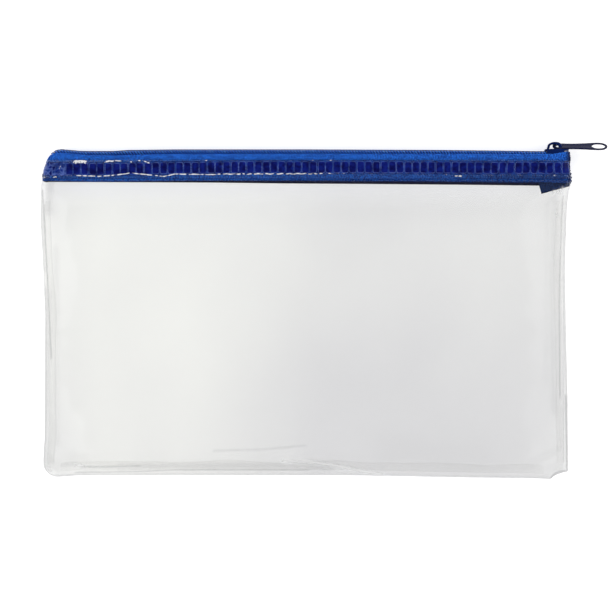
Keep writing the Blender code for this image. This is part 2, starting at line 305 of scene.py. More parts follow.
def wander(x, y, size, seed):
    """Smooth noise from about -1 to 1 over the bag, in patches about size across."""
    flat = zip(np.ravel(x) / size, np.ravel(y) / size)
    return np.array([noise.noise(Vector((a, b, seed))) for a, b in flat]).reshape(np.shape(x)) * 1.6


def signed_power(value, power):
    return np.sign(value) * np.abs(value) ** power


# Meshes


def add_object(name, mesh, surface):
    mesh.materials.append(surface)
    obj = bpy.data.objects.new(name, mesh)
    bpy.context.scene.collection.objects.link(obj)
    return obj


def add_attribute(mesh, name, values):
    attribute = mesh.attributes.new(name, "FLOAT", "POINT")
    attribute.data.foreach_set("value", np.ravel(values).astype(np.float32))


def sheet_object(name, points, surface, thickness, outward, **attributes):
    """A smooth sheet through rows x columns of points, thickened inwards from them.
    outward is +1 or -1 in Z."""
    rows, columns = points.shape[:2]
    index = np.arange(rows * columns).reshape(rows, columns)
    quads = [index[:-1, :-1], index[:-1, 1:], index[1:, 1:], index[1:, :-1]]
    if outward < 0:
        quads.reverse()
    mesh = bpy.data.meshes.new(name)
    mesh.from_pydata(points.reshape(-1, 3).tolist(), [], np.stack(quads, axis=-1).reshape(-1, 4).tolist())
    mesh.shade_smooth()
    for key, values in attributes.items():
        add_attribute(mesh, key, values)
    obj = add_object(name, mesh, surface)
    wall = obj.modifiers.new("thickness", "SOLIDIFY")
    wall.thickness = thickness
    wall.offset = -1.0
    wall.use_even_offset = False
    return obj


def tube_object(name, line, radius, sides, surface, reference, wide=1.0):
    """A closed tube round a line of points.
    Its section is wide times broader along the reference direction."""
    line = np.asarray(line, float)
    tangent = np.gradient(line, axis=0)
    tangent /= np.linalg.norm(tangent, axis=1, keepdims=True)
    first = np.asarray(reference, float) - tangent * (tangent @ np.asarray(reference, float))[:, None]
    first /= np.linalg.norm(first, axis=1, keepdims=True)
    second = np.cross(tangent, first)
    angle = np.linspace(0.0, 2.0 * math.pi, sides, endpoint=False)
    radii = np.broadcast_to(np.asarray(radius, float), (len(line),))[:, None, None]
    broad = np.broadcast_to(np.asarray(wide, float), (len(line),))[:, None, None]
    rings = line[:, None, :] + radii * (
        broad * np.cos(angle)[None, :, None] * first[:, None, :]
        + np.sin(angle)[None, :, None] * second[:, None, :]
    )
    index = np.arange(len(line) * sides).reshape(len(line), sides)
    after = np.roll(index, -1, axis=1)
    quads = np.stack([index[:-1], after[:-1], after[1:], index[1:]], axis=-1).reshape(-1, 4).tolist()
    caps = [index[0, ::-1].tolist(), index[-1].tolist()]
    mesh = bpy.data.meshes.new(name)
    mesh.from_pydata(rings.reshape(-1, 3).tolist(), [], quads + caps)
    mesh.shade_smooth()
    add_attribute(mesh, "along", np.repeat(np.linspace(0.0, 1.0, len(line)), sides))
    return add_object(name, mesh, surface)


# Materials


class Surface:
    """A material's node tree, with short ways to add nodes and join them."""

    def __init__(self, name):
        self.material = bpy.data.materials.new(name)
        self.material.use_nodes = True
        self.nodes = self.material.node_tree.nodes
        self.links = self.material.node_tree.links
        self.nodes.clear()

    def add(self, kind, inputs=None, **settings):
        made = self.nodes.new(f"ShaderNode{kind}")
        for key, value in settings.items():
            setattr(made, key, value)
        for key, value in (inputs or {}).items():
            if isinstance(value, bpy.types.NodeSocket):
                self.links.new(value, made.inputs[key])
            else:
                made.inputs[key].default_value = value
        return made

    def place(self):
        return self.add("TexCoord").outputs["Object"]

    def attribute(self, name):
        return self.add("Attribute", attribute_name=name).outputs["Fac"]

    def math(self, operation, a, b=0.0, c=0.0):
        return self.add("Math", {0: a, 1: b, 2: c}, operation=operation).outputs[0]

    def noise(self, scale, detail=2.0, at=None, stretch=(1.0, 1.0, 1.0)):
        mapping = self.add("Mapping", {"Vector": at or self.place(), "Scale": stretch})
        made = self.add("TexNoise", {"Vector": mapping.outputs[0], "Scale": scale, "Detail": detail})
        return made.outputs["Fac"]

    def between(self, value, low, high, start=0.0, end=1.0):
        inputs = {"Value": value, "From Min": low, "From Max": high, "To Min": start, "To Max": end}
        return self.add("MapRange", inputs, interpolation_type="SMOOTHSTEP").outputs["Result"]

    def mix(self, share, a, b):
        return self.add("Mix", {0: share, 6: a, 7: b}, data_type="RGBA").outputs[2]

    def bump(self, height, strength, distance, under=None):
        inputs = {"Height": height, "Strength": strength, "Distance": distance}
        if under:
            inputs["Normal"] = under
        return self.add("Bump", inputs).outputs[0]

    def principled(self, **inputs):
        named = {key.replace("_", " "): value for key, value in inputs.items()}
        return self.add("BsdfPrincipled", named).outputs[0]

    def layered(self, share, under, over):
        return self.add("MixShader", {0: share, 1: under, 2: over}).outputs[0]

    def finish(self, shader):
        out = self.add("OutputMaterial")
        self.links.new(shader, out.inputs["Surface"])
        return self.material


def colour(red, green, blue):
    return (red, green, blue, 1.0)


def vinyl_material(name, cloud=0.0, welded=False, fresh=0.0):
    """Thin clear vinyl. It shows what is behind it, with a faint cloudiness and a handled, rippled gloss.
    In a welded strip, its melted and cell attributes say where it has fused into the tape. Its glint
    attribute paints highlights on it as white, and another attribute paints shade on it as a grey tint."""
    s = Surface(name)
    where = s.add("SeparateXYZ", {0: s.place()})
    # The tint darkens towards the right, at the far left edge and towards the bottom, clears at the far right
    # and varies in random patches
    darker_rightwards = s.between(where.outputs["X"], -0.065, 0.03, 0.0, 0.66)
    lighter_far_right = s.between(where.outputs["X"], 0.045, 0.11, 0.0, -0.2)
    darker_far_left = s.between(where.outputs["X"], -0.118, -0.09, 0.22, 0.0)
    low = s.between(where.outputs["Y"], 0.05, -0.07, 0.0, 0.36)
    patches = s.between(s.noise(14.0, 2.0, stretch=(1.0, 0.7, 1.0)), 0.3, 0.7, -0.12, 0.12)
    sides = s.math("ADD", s.math("ADD", darker_rightwards, lighter_far_right), darker_far_left)
    tone_shift = s.math("ADD", sides, s.math("ADD", low, patches))
    toned_tint = s.mix(tone_shift, colour(0.95, 0.951, 0.945), colour(0.91, 0.91, 0.912))
    # Painted light: the tint clears towards the zip to lift the shadow the zip band casts on the pouch; with
    # fresh at 1 the sheet is this clear all over
    painted_lift_or_fresh = s.between(where.outputs["Y"], 0.046, 0.062, fresh, max(fresh, 0.55))
    lifted_tint = s.mix(painted_lift_or_fresh, toned_tint, colour(0.994, 0.994, 0.992))
    # Painted shade: this attribute darkens the tint to grey along the panels' outlines, the drawn shade lines
    # and the turned plies' edges
    tint = s.mix(s.attribute("dense"), lifted_tint, colour(0.78, 0.78, 0.784))
    ripple = s.bump(s.noise(70.0, 2.0), 0.1, 0.0008)
    scuffs = s.noise(800.0, 4.0, stretch=(1.0, 0.12, 1.0))
    polish = s.bump(scuffs, 0.06, 0.00004, ripple)
    roughness = s.between(s.noise(45.0, 3.0), 0.35, 0.75, 0.04, 0.14)
    turned = s.add("LayerWeight", {"Blend": 0.5, "Normal": polish}).outputs["Facing"]
    glancing = s.math("POWER", turned, 4.5)
    glint = s.attribute("glint")
    mirrored = s.math("MULTIPLY_ADD", glancing, 0.6, 0.024)
    # A cut edge, marked with a glint under 0, is too ragged to mirror anything
    reflected = s.math("MULTIPLY", mirrored, s.between(glint, -0.7, 0.0))
    clear = s.add("BsdfTransparent", {"Color": tint}).outputs[0]
    mirror = {"Color": colour(1, 1, 1), "Roughness": roughness, "Normal": polish}
    gloss = s.add("BsdfGlossy", mirror).outputs[0]
    milk = s.add("BsdfTranslucent", {"Color": colour(0.9, 0.91, 0.92)}).outputs[0]
    dust = s.between(s.noise(2200.0, 2.0), 0.62, 0.8, cloud, cloud + 0.05)
    film = s.layered(reflected, s.layered(dust, clear, milk), gloss)
    if not welded:
        # Painted highlights: where the glint attribute is above 0, the film turns into a white surface
        bright = s.principled(Base_Color=colour(0.97, 0.97, 0.97), Roughness=0.3, Normal=polish)
        return s.finish(s.layered(s.math("MULTIPLY", glint, 0.85), film, bright))
    melted = s.attribute("melted")
    cell = s.attribute("cell")
    blotch = s.between(s.noise(420.0, 3.0), 0.3, 0.7)
    land = s.mix(blotch, colour(0.005, 0.02, 0.16), colour(0.018, 0.07, 0.36))
    pressed = s.mix(blotch, colour(0.0004, 0.0015, 0.075), colour(0.004, 0.014, 0.22))
    edge = s.between(s.math("PINGPONG", cell, 0.5), 0.15, 0.5)
    rim = s.math("MULTIPLY", edge, s.between(s.noise(260.0, 2.0), 0.38, 0.62, 0.1, 0.75))
    body = s.mix(rim, s.mix(cell, land, pressed), colour(0.13, 0.21, 0.62))
    # Painted highlights: the bead and lip glints are painted near-white over the weld's colour
    with_painted_glints = s.mix(s.between(glint, 0.25, 0.75), body, colour(0.97, 0.98, 1.0))
    solid = s.principled(Base_Color=with_painted_glints, Roughness=roughness, Normal=polish, Specular_IOR_Level=0.2)
    share = s.math("MAXIMUM", s.math("MULTIPLY", melted, 0.97), s.between(glint, 0.2, 0.7))
    return s.finish(s.layered(share, film, solid))


def weave_material(name, shade=1.0):
    """Woven polyester zip tape: a fine, unevenly dyed herringbone with a dark, heat-cut selvedge. The
    selvedge attribute also carries painted shade, and shade below 1 scales every colour down as painted
    shade.
    """
    s = Surface(name)
    along = s.attribute("along")
    across = s.attribute("across")
    zigzag = s.math("PINGPONG", s.math("DIVIDE", across, 1.5 * MM), 1.0)
    slant = s.math("MULTIPLY_ADD", along, 2 * math.pi / (1.2 * MM), s.math("MULTIPLY", zigzag, 4.6))
    picks = s.math("SINE", slant)
    warps = s.math("SINE", s.math("MULTIPLY", across, 2 * math.pi / (0.5 * MM)))
    height = s.between(s.math("MULTIPLY_ADD", warps, 0.5, picks), -1.2, 1.2)
    fuzz = s.noise(2600.0, 3.0)
    flecks = s.between(s.noise(1900.0, 2.0), 0.36, 0.64, -0.4, 0.4)
    uneven = s.between(s.noise(200.0, 2.0, stretch=(0.4, 1.0, 1.0)), 0.3, 0.7, -0.06, 0.06)
    woven = s.math("ADD", s.math("MULTIPLY_ADD", height, 0.45, 0.27), s.math("ADD", flecks, uneven))
    dark = colour(0.004 * shade, 0.035 * shade, 0.24 * shade)
    light = colour(0.024 * shade, 0.2 * shade, 0.9 * shade)
    dyed = s.mix(woven, dark, light)
    # The selvedge attribute darkens the tape: partly its dark cut edge, partly painted shade near the lip,
    # below the bead and along the back tape's edge
    base = s.mix(s.attribute("selvedge"), dyed, colour(0.001, 0.002, 0.035))
    relief = s.bump(height, 0.5, 0.00012, s.bump(fuzz, 0.35, 0.00005))
    rough = s.between(fuzz, 0.3, 0.7, 0.6, 0.85)
    return s.finish(s.principled(Base_Color=base, Roughness=rough, Normal=relief, Specular_IOR_Level=0.15))


def nylon_material(name, shade=1.0):
    """Drawn nylon monofilament: satin blue, paler where it is worn. Shade below 1 scales every colour down as
    painted shade.
    """
    s = Surface(name)
    worn = s.between(s.noise(500.0, 3.0), 0.4, 0.7)
    dyed = colour(0.03 * shade, 0.19 * shade, 0.82 * shade)
    base = s.mix(worn, dyed, colour(0.09 * shade, 0.36 * shade, 1.0 * shade))
    grain = s.bump(s.noise(3000.0, 2.0), 0.2, 0.00003)
    roughness = s.between(worn, 0.0, 1.0, 0.3, 0.5)
    return s.finish(s.principled(Base_Color=base, Roughness=roughness, Normal=grain, Specular_IOR_Level=0.25))


def thread_material(name):
    """Twisted sewing thread."""
    s = Surface(name)
    lay = {"Vector": s.place(), "Scale": 1800.0, "Distortion": 1.5}
    turns = s.add("TexWave", lay, bands_direction="DIAGONAL")
    base = s.mix(turns.outputs["Fac"], colour(0.001, 0.005, 0.05), colour(0.004, 0.02, 0.15))
    twist = s.bump(turns.outputs["Fac"], 0.5, 0.00005)
    return s.finish(s.principled(Base_Color=base, Roughness=0.6, Normal=twist, Specular_IOR_Level=0.15))


def paint_material(name, face, edge, metal):
    """Baked paint on metal: orange peel, fine scratches, and darker, less metallic colour along its sharp
    edges.
    """
    s = Surface(name)
    pointed = s.between(s.add("NewGeometry").outputs["Pointiness"], 0.5, 0.56)
    grazes = s.between(s.noise(900.0, 4.0, stretch=(0.1, 1.0, 1.0)), 0.62, 0.78, 0.0, 0.5)
    blotch = s.between(s.noise(500.0, 2.0), 0.3, 0.7, 0.0, 0.45)
    base = s.mix(pointed, s.mix(blotch, face, edge), edge)
    base = s.mix(grazes, base, colour(0.09, 0.1, 0.16))
    peel = s.bump(s.noise(1400.0, 2.0), 0.15, 0.00006)
    scratches = s.bump(s.noise(900.0, 4.0, stretch=(0.08, 1.0, 1.0)), 0.12, 0.00004, peel)
    roughness = s.between(s.noise(700.0, 3.0), 0.3, 0.7, 0.24, 0.42)
    shine = s.math("MULTIPLY", s.math("SUBTRACT", 1.0, pointed), metal)
    return s.finish(
        s.principled(
            Base_Color=base,
            Roughness=roughness,
            Metallic=shine,
            Normal=scratches,
            Specular_IOR_Level=0.08,
        )
    )


def floor_material():
    s = Surface("paper_sweep")
    grain = s.bump(s.noise(300.0, 2.0), 0.05, 0.0003)
    pale = s.mix(s.noise(3.0, 1.0), colour(0.9, 0.9, 0.9), colour(0.92, 0.92, 0.92))
    paper = s.principled(Base_Color=pale, Roughness=0.9, Normal=grain, Specular_IOR_Level=0.1)
    glow = s.add("Emission", {"Color": colour(1, 1, 1), "Strength": FLOOR_GLOW}).outputs[0]
    return s.finish(s.add("AddShader", {0: paper, 1: glow}).outputs[0])


# The pouch's shape


def left_edge(y):
    return through(LEFT_EDGE, y)


def right_edge(y):
    return through(RIGHT_EDGE, y)


def seam_height(y):
    """The side seams lie low along the pouch and rise to the middle of the chain at the zip."""
    return SEAM_Z + (CHAIN_Z - SEAM_Z) * ramp(y, 15 * MM, 62 * MM)


def rounded_rise(distance, run, power):
    """0 at a seam and 1 from run onwards, as a rounded shoulder."""
    share = np.clip(distance / run, 0.0, 1.0)
    return (1.0 - (1.0 - share) ** power) ** (1.0 / power)


def rounded_corner(up, size):
    """How far in from the side a rounded bottom corner's edge lies, this far up from the bottom."""
    share = np.clip(1.0 - up / size, 0.0, 1.0)
    return size * (1.0 - (1.0 - share**1.7) ** (1.0 / 1.7))


def notched_corner(up, width, height):
    """The same for a bottom corner with a hollow notch out of it."""
    return width * (1.0 - np.clip(up / height, 0.0, 1.0) ** 1.6) ** 0.8


def panel_grid(levels, shares):
    """x, y and the distances to the side and bottom seams, over rows x columns across the bag's outline."""
    s, nominal = np.meshgrid(shares, levels)
    up = nominal - PANEL_BOTTOM_Y
    left = left_edge(nominal) + rounded_corner(up, 6.0 * MM)
    right = right_edge(nominal) - notched_corner(up, 7.6 * MM, 3.6 * MM)
    x = left + (right - left) * s
    y = nominal + (through(BOTTOM_EDGE, x) - PANEL_BOTTOM_Y) * ramp(up, 70 * MM, 0.0)
    side = np.minimum(x - left, right - x)
    return x, y, side, up


def weld_relief(x, y):
    """The ladder weld: pressed cells between lands, a loose lip above them and a squeezed bead below.
    Returns the outward height, how melted and how pressed the vinyl is, and how strongly a highlight is
    painted on it."""
    level = y - through(WELD_DRIFT, x) + 0.1 * MM * wander(x, y * 0, 9 * MM, 3.0)
    cell = np.round(x / CELL_PITCH)
    skew = 0.35 * wander(cell * CELL_PITCH, y * 0, 40 * MM, 8.0) * ramp(np.abs(x - 90 * MM), 14 * MM, 4 * MM)
    shift = 0.12 * MM * wander(cell * CELL_PITCH, y * 0, 5 * MM, 9.0)
    u = np.abs(x - cell * CELL_PITCH - shift - skew * (level - CELL_ROW_Y)) / CELL_HALF_WIDTH
    v = np.abs(level - CELL_ROW_Y) / CELL_HALF_HEIGHT
    torn = 0.12 * wander(x, y, 0.9 * MM, 6.0) * ramp(x, 60 * MM, 110 * MM)
    pressed = ramp((u**5 + v**8) ** 0.17 + torn, 1.1, 0.9)
    row = ramp(v, 1.32, 1.12)
    start = ramp(x, -108 * MM, -111 * MM)
    bubbles = wander(x, y, 1.3 * MM, 5.0)
    pressed = pressed * (1.0 - start) + start * np.clip(0.5 + 0.45 * bubbles, 0.0, 1.0)
    lip_height = 0.75 + wander(x, y * 0, 5 * MM, 11.0) + 0.5 * ramp(x, -70 * MM, -105 * MM)
    lip = np.exp(-(((level - LIP_Y) / (0.38 * MM)) ** 2)) * np.clip(lip_height, 0.15, 2.0)
    scallop = np.abs(np.sin(math.pi * x / CELL_PITCH)) * ramp(x, -50 * MM, -30 * MM)
    bead_y = through(BEAD_LINE, x) + 0.12 * MM * wander(x, y * 0, 4 * MM, 12.0) - 0.25 * MM * scallop
    bead_height = 0.95 + 0.7 * wander(x, y * 0, 2.6 * MM, 14.0)
    bead = np.exp(-(((y - bead_y) / (0.22 * MM)) ** 2)) * np.clip(bead_height, 0.3, 2.0)
    height = -CELL_DEPTH * pressed + 0.05 * MM * row + 0.2 * MM * lip + 0.15 * MM * bead
    height = height + 0.1 * MM * bubbles * start * row
    # Painted highlights: glints along the bead, strongest towards the left end, and the listed glints on the
    # lip
    lit = ramp(x, -109 * MM, -104 * MM) * (1.0 - 0.72 * ramp(x, -5 * MM, 22 * MM))
    bead_glint = 1.35 * bead * lit * (0.72 + 0.75 * wander(x, y * 0, 1.3 * MM, 15.0))
    ragged = 0.75 + 0.6 * wander(x, y, 0.7 * MM, 19.0)
    glint = np.clip(np.maximum(bead_glint, 1.3 * drawn(LIP_GLINTS, x, y) * ragged), 0.0, 1.0)
    melted = row * (0.82 + 0.18 * pressed)
    return height, melted, pressed * row, glint


def away_from(points, x, y):
    """The distance from x, y to a chain of points in millimetres."""
    nearest = np.full(np.shape(x), 1.0)
    for start, end in zip(points, points[1:]):
        a = np.array(start) * MM
        b = np.array(end) * MM
        along = ((x - a[0]) * (b[0] - a[0]) + (y - a[1]) * (b[1] - a[1])) / np.sum((b - a) ** 2)
        held = np.clip(along, 0.0, 1.0)
        away = np.hypot(x - a[0] - held * (b[0] - a[0]), y - a[1] - held * (b[1] - a[1]))
        nearest = np.minimum(nearest, away)
    return nearest


def drawn(lines, x, y):
    """From 0 to 1, how strongly the nearest of these soft lines shows at x, y."""
    total = np.zeros(np.shape(x))
    for points, width, strength in lines:
        total = np.maximum(total, strength * np.exp(-((away_from(points, x, y) / (width * MM)) ** 2)))
    return total


def crease_relief(x, y):
    total = np.zeros(np.shape(x))
    for start, end, width, height in CREASES:
        total = total + height * MM * np.exp(-((away_from((start, end), x, y) / (width * MM)) ** 2))
    return total


def pouch_height(y):
    """How high the front panel stands along the bag's middle: it falls from the zip to the bottom seam."""
    low = 4.4 * MM + 1.3 * MM * ramp(y, -70 * MM, -20 * MM)
    return low + (MOUTH_TOP_Z - low) * ramp(y, -35 * MM, 60 * MM)


def front_height(x, y, side, up):
    edge = seam_height(y) + SEAM_GAP
    at_zip = ramp(y, 44 * MM, 60 * MM)
    low_rise = 0.25 * rounded_rise(side, 3.0 * MM, 2.0) + 0.75 * rounded_rise(side, 34 * MM, 1.8)
    zip_rise = rounded_rise(side, 3.4 * MM, 2.6)
    side_rise = low_rise + (zip_rise - low_rise) * at_zip
    bottom_rise = 0.3 * rounded_rise(up, 3.0 * MM, 2.0) + 0.7 * rounded_rise(up, 30 * MM, 1.7)
    body = edge + (pouch_height(y) - edge) * side_rise * bottom_rise
    free = ramp(side, 0.0, 5 * MM) * ramp(up, 0.0, 5 * MM) * (1.0 - at_zip)
    pucker = np.exp(-side / (9 * MM)) * wander(x * 0, y, 7 * MM, 21.0)
    pucker = pucker + np.exp(-up / (8 * MM)) * wander(x, y * 0, 9 * MM, 23.0)
    sway = 0.45 * MM * wander(x, y, 60 * MM, 31.0) + 0.12 * MM * wander(x, y, 18 * MM, 33.0)
    creases = crease_relief(x, y) * ramp(up, 0.0, 3 * MM) * ramp(side, 0.0, 2 * MM) * (1.0 - at_zip)
    return body + free * (sway + 0.3 * MM * pucker) + creases


def back_height(x, y, side, up):
    edge = seam_height(y) - SEAM_GAP
    at_zip = ramp(y, 44 * MM, 60 * MM)
    low_rise = rounded_rise(side, 5.0 * MM, 2.0)
    side_rise = low_rise + (rounded_rise(side, 3.4 * MM, 2.6) - low_rise) * at_zip
    return edge * (1.0 - side_rise * rounded_rise(up, 5.0 * MM, 2.0)) + 0.02 * MM


def make_panels(vinyl, welded):
    """Each panel is a broad sheet and the strip along its top where it is welded to the tape."""
    hem_levels = np.linspace(0.0, 16 * MM, 49)[:-1]
    body_levels = np.linspace(16 * MM, STRIP_Y - PANEL_BOTTOM_Y, 84)
    low_levels = PANEL_BOTTOM_Y + np.concatenate([hem_levels, body_levels])
    side_shares = np.linspace(0.0, 0.035, 30)[:-1]
    shares = np.concatenate([side_shares, np.linspace(0.035, 0.965, 210), 1.0 - side_shares[::-1]])
    strip_levels = np.linspace(STRIP_Y, PANEL_TOP_Y, 36)
    strip_shares = np.linspace(0.0, 1.0, 810)
    made = {}
    for name, outward, height in (("front", 1, front_height), ("back", -1, back_height)):
        x, y, side, up = panel_grid(low_levels, shares)
        sheet = np.stack([x, y, height(x, y, side, up)], -1)
        # Painted shade along each panel's outline, and on the front panel along the drawn shade lines
        edge = 0.35 * np.exp(-((np.minimum(side, up) / (0.5 * MM)) ** 2))
        dense = np.maximum(edge, drawn(SHADE_LINES, x, y)) if outward > 0 else edge
        # Painted highlights on the front panel; the top row is marked as a cut edge
        bright = drawn(PAINTED_HIGHLIGHTS, x, y) if outward > 0 else edge * 0
        bright[-1] = -1.0
        made[name] = sheet_object(f"{name}_vinyl", sheet, vinyl, VINYL, outward, dense=dense, glint=bright)
        x, y, side, up = panel_grid(strip_levels, strip_shares)
        relief, melted, cell, glint = weld_relief(x, y)
        held = ramp(up, STRIP_Y - PANEL_BOTTOM_Y, STRIP_Y - PANEL_BOTTOM_Y + 0.8 * MM) * ramp(side, 0.0, MM)
        if outward < 0:
            relief = np.maximum(-relief, 0.0)
        strip = np.stack([x, y, height(x, y, side, up) + relief * held], -1)
        glint = glint * held
        glint[0] = -1.0
        melted[0] = 1.0
        facts = {"melted": melted, "cell": cell, "glint": glint}
        made[f"{name}_strip"] = sheet_object(f"{name}_weld_strip", strip, welded, VINYL, outward, **facts)
        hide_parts(f"{name}_panel")
        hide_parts(f"{name}_panel")
    return made


def make_seam_allowances(vinyl):
    """The welded plies that are turned inside along each seam, a little wavy."""
    plies = {}
    rows = np.linspace(-69 * MM, 52 * MM, 100)
    inwards = np.linspace(1.7 * MM, 5.0 * MM, 14)
    for name, edge, turn in (("left", left_edge, 1), ("right", right_edge, -1)):
        y, inside = np.meshgrid(rows, inwards, indexing="ij")
        ragged = 0.6 * MM * wander(y * 0 + turn, y, 22 * MM, 41.0) * (inside / inwards[-1])
        x = edge(y) + turn * (inside + ragged)
        lift = 0.2 * MM * wander(x * 0, y, 12 * MM, 43.0) * ramp(inside, 1.7 * MM, 5 * MM)
        z = seam_height(y) * 0.75 + 0.75 * MM + lift
        # Painted shade along both long edges of the ply
        edges = 0.1 * ramp(np.abs(inside - inwards.mean()), 1.1 * MM, 1.6 * MM)
        points = np.stack([x, y, z], -1)
        plies[name] = sheet_object(f"{name}_turned_weld", points, vinyl, 0.4 * MM, turn, dense=edges)
    columns = np.linspace(-113 * MM, 110 * MM, 160)
    inwards = np.linspace(2.4 * MM, 6.4 * MM, 15)
    x, inside = np.meshgrid(columns, inwards, indexing="ij")
    ragged = 0.7 * MM * wander(x, x * 0, 24 * MM, 45.0) * (inside / inwards[-1])
    y = through(BOTTOM_EDGE, x) + inside + ragged
    z = SEAM_Z - 0.25 * MM + 0.15 * MM * wander(x, x * 0, 14 * MM, 47.0) * ramp(inside, 2.2 * MM, 6 * MM)
    # Painted shade along both long edges of the ply
    edges = 0.1 * ramp(np.abs(inside - inwards.mean()), 1.5 * MM, 2.0 * MM)
    points = np.stack([x, y, z], -1)
    plies["bottom"] = sheet_object("bottom_turned_weld", points, vinyl, 0.4 * MM, -1, dense=edges)
    for name, piece in plies.items():
        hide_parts(f"{name}_seam_allowance")
        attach(piece, BACK)


# The zip


def chain_shift(x):
    return through(CHAIN_LIFT, x)


def end_closing(x, y):
    """1 along the zip, falling to 0 where the two tapes meet in the side seams."""
    side = np.minimum(x - left_edge(y), right_edge(y) + 0.1 * MM - x)
    return rounded_rise(side, 3.2 * MM, 2.6)


def make_tape(half, side, weave):
    """One woven tape: out from the coil, up over its fold, and down inside the panel to its selvedge."""
    ends = np.linspace(0.0, 1.0, 26)[:-1] ** 1.4
    straight = np.linspace(-111.0, 115.0, 300)
    x_line = np.concatenate([-120.5 + 9.5 * ends, straight, 122.0 - 7.0 * ends[::-1]]) * MM
    spread = TAPE_SPREAD - 0.05 * MM
    crest = through(FOLD_CREST, x_line) - 0.35 * MM
    web = np.minimum(coil_low.y - 0.1 * MM + chain_shift(x_line), crest - 0.15 * MM)
    selvedge = through(FRONT_SELVEDGE if side > 0 else BACK_SELVEDGE, x_line)
    crest = crest if side > 0 else np.minimum(crest, web + 0.4 * MM)
    shoulder = crest - 0.75 * MM
    outs, heights, named = [], [], []
    for offset in np.linspace(0.1 * MM, 3.4 * MM, 8):
        outs.append(offset)
        heights.append(web)
        named.append(0.0)
    for share in np.linspace(0.0, 1.0, 7)[1:]:
        outs.append(3.4 * MM + (spread - 0.55 * MM - 3.4 * MM) * share)
        heights.append(web + (crest - web) * float(ramp(share, 0.0, 1.0)))
        named.append(0.0)
    for angle in np.linspace(0.0, math.pi / 2, 7)[1:]:
        outs.append(spread - 0.55 * MM + 0.55 * MM * math.sin(angle))
        heights.append(crest + (shoulder - crest) * (1.0 - math.cos(angle)))
        named.append(0.0)
    falls = 30
    # Painted shade: the back tape's edge is darker and wider, where it lies in the front tape's shadow
    edge_start, edge_end, edge_dark = (2.2, 0.4, 0.6) if side > 0 else (5.0, 2.4, 1.0)
    for step in range(1, falls + 1):
        outs.append(spread)
        heights.append(shoulder + (selvedge - shoulder) * step / falls)
        share = float(ramp(step / falls, 1.0 - edge_start / falls, 1.0 - edge_end / falls))
        named.append(share * edge_dark)
    y = np.stack(heights, -1)
    out = np.broadcast_to(np.array(outs), y.shape)
    x = np.broadcast_to(x_line[:, None], y.shape)
    x = np.clip(x, left_edge(y) + 0.35 * MM, right_edge(y) - 0.3 * MM)
    steps_down = np.hypot(np.diff(y), np.diff(out))
    arc = np.concatenate([np.zeros((len(x_line), 1)), np.cumsum(steps_down, axis=1)], axis=1)
    ripple = 0.1 * MM * wander(x, y, 14 * MM, 51.0 + side) * ramp(out, 0.0, spread)
    z = CHAIN_Z + side * (out + np.minimum(ripple, 0.0)) * end_closing(x, y)
    points = np.stack([x, y, z], -1)
    dark = np.broadcast_to(np.array(named), y.shape)
    # Painted shade below the bead, deepening towards the closed end, and towards the lip where the fold
    # shades the tape; the tape is also darker towards both ends
    below = ramp(y, BEAD_Y + 0.3 * MM, BEAD_Y - 0.5 * MM)
    dark = np.maximum(dark, below * (0.06 + 0.54 * ramp(x, 20 * MM, 105 * MM)))
    dark = np.maximum(dark, 0.85 * ramp(x, 118.0 * MM, 120.6 * MM))
    dark = np.maximum(dark, 0.5 * ramp(x, -114.5 * MM, -119.5 * MM))
    dark = np.maximum(dark, 0.25 * ramp(y, LIP_Y + 1.5 * MM, LIP_Y + 0.3 * MM))
    piece = sheet_object(f"{half}_woven_tape", points, weave, TAPE, side, along=x, across=arc, selvedge=dark)
    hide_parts(f"{half}_tape")
    return piece, float(arc[:, -1].mean())


def make_tail(weave):
    """The zip's trimmed end, folded down inside the bag."""
    s, t = np.meshgrid(np.linspace(0, 1, 20), np.linspace(0, 1, 14), indexing="ij")
    top_x = (105.7 + 15.3 * s) * MM
    low_x = (108.0 + 12.9 * s) * MM
    low_y = (55.0 + 3.5 * s) * MM
    top_y = (63.0 - 1.5 * s) * MM
    x = top_x + (low_x - top_x) * t
    y = top_y + (low_y - top_y) * t
    room = rounded_rise(right_edge(y) - x, 3.6 * MM, 2.6) * 3.6 * MM
    z = CHAIN_Z + 0.1 * MM + room + 0.15 * MM * np.sin(5.0 * s + 2.0 * t)
    cut = ramp(t, 0.93, 0.99)
    facts = {"along": x, "across": y, "selvedge": cut}
    piece = sheet_object("tape_tail_fold", np.stack([x, y, z], -1), weave, TAPE, 1, **facts)
    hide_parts("tape_tail")
    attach(piece, BACK)


def coil_levels(x):
    """The coil's middle level and how far its wire's middle lies above and below it.
    The coil rests on the tapes' fold."""
    shift = chain_shift(x)
    low = np.minimum(coil_low.y + shift, through(FOLD_CREST, x) - 0.45 * MM)
    high = coil_high.y + shift
    return (low + high) / 2, (high - low) / 2 - COIL_WIRE


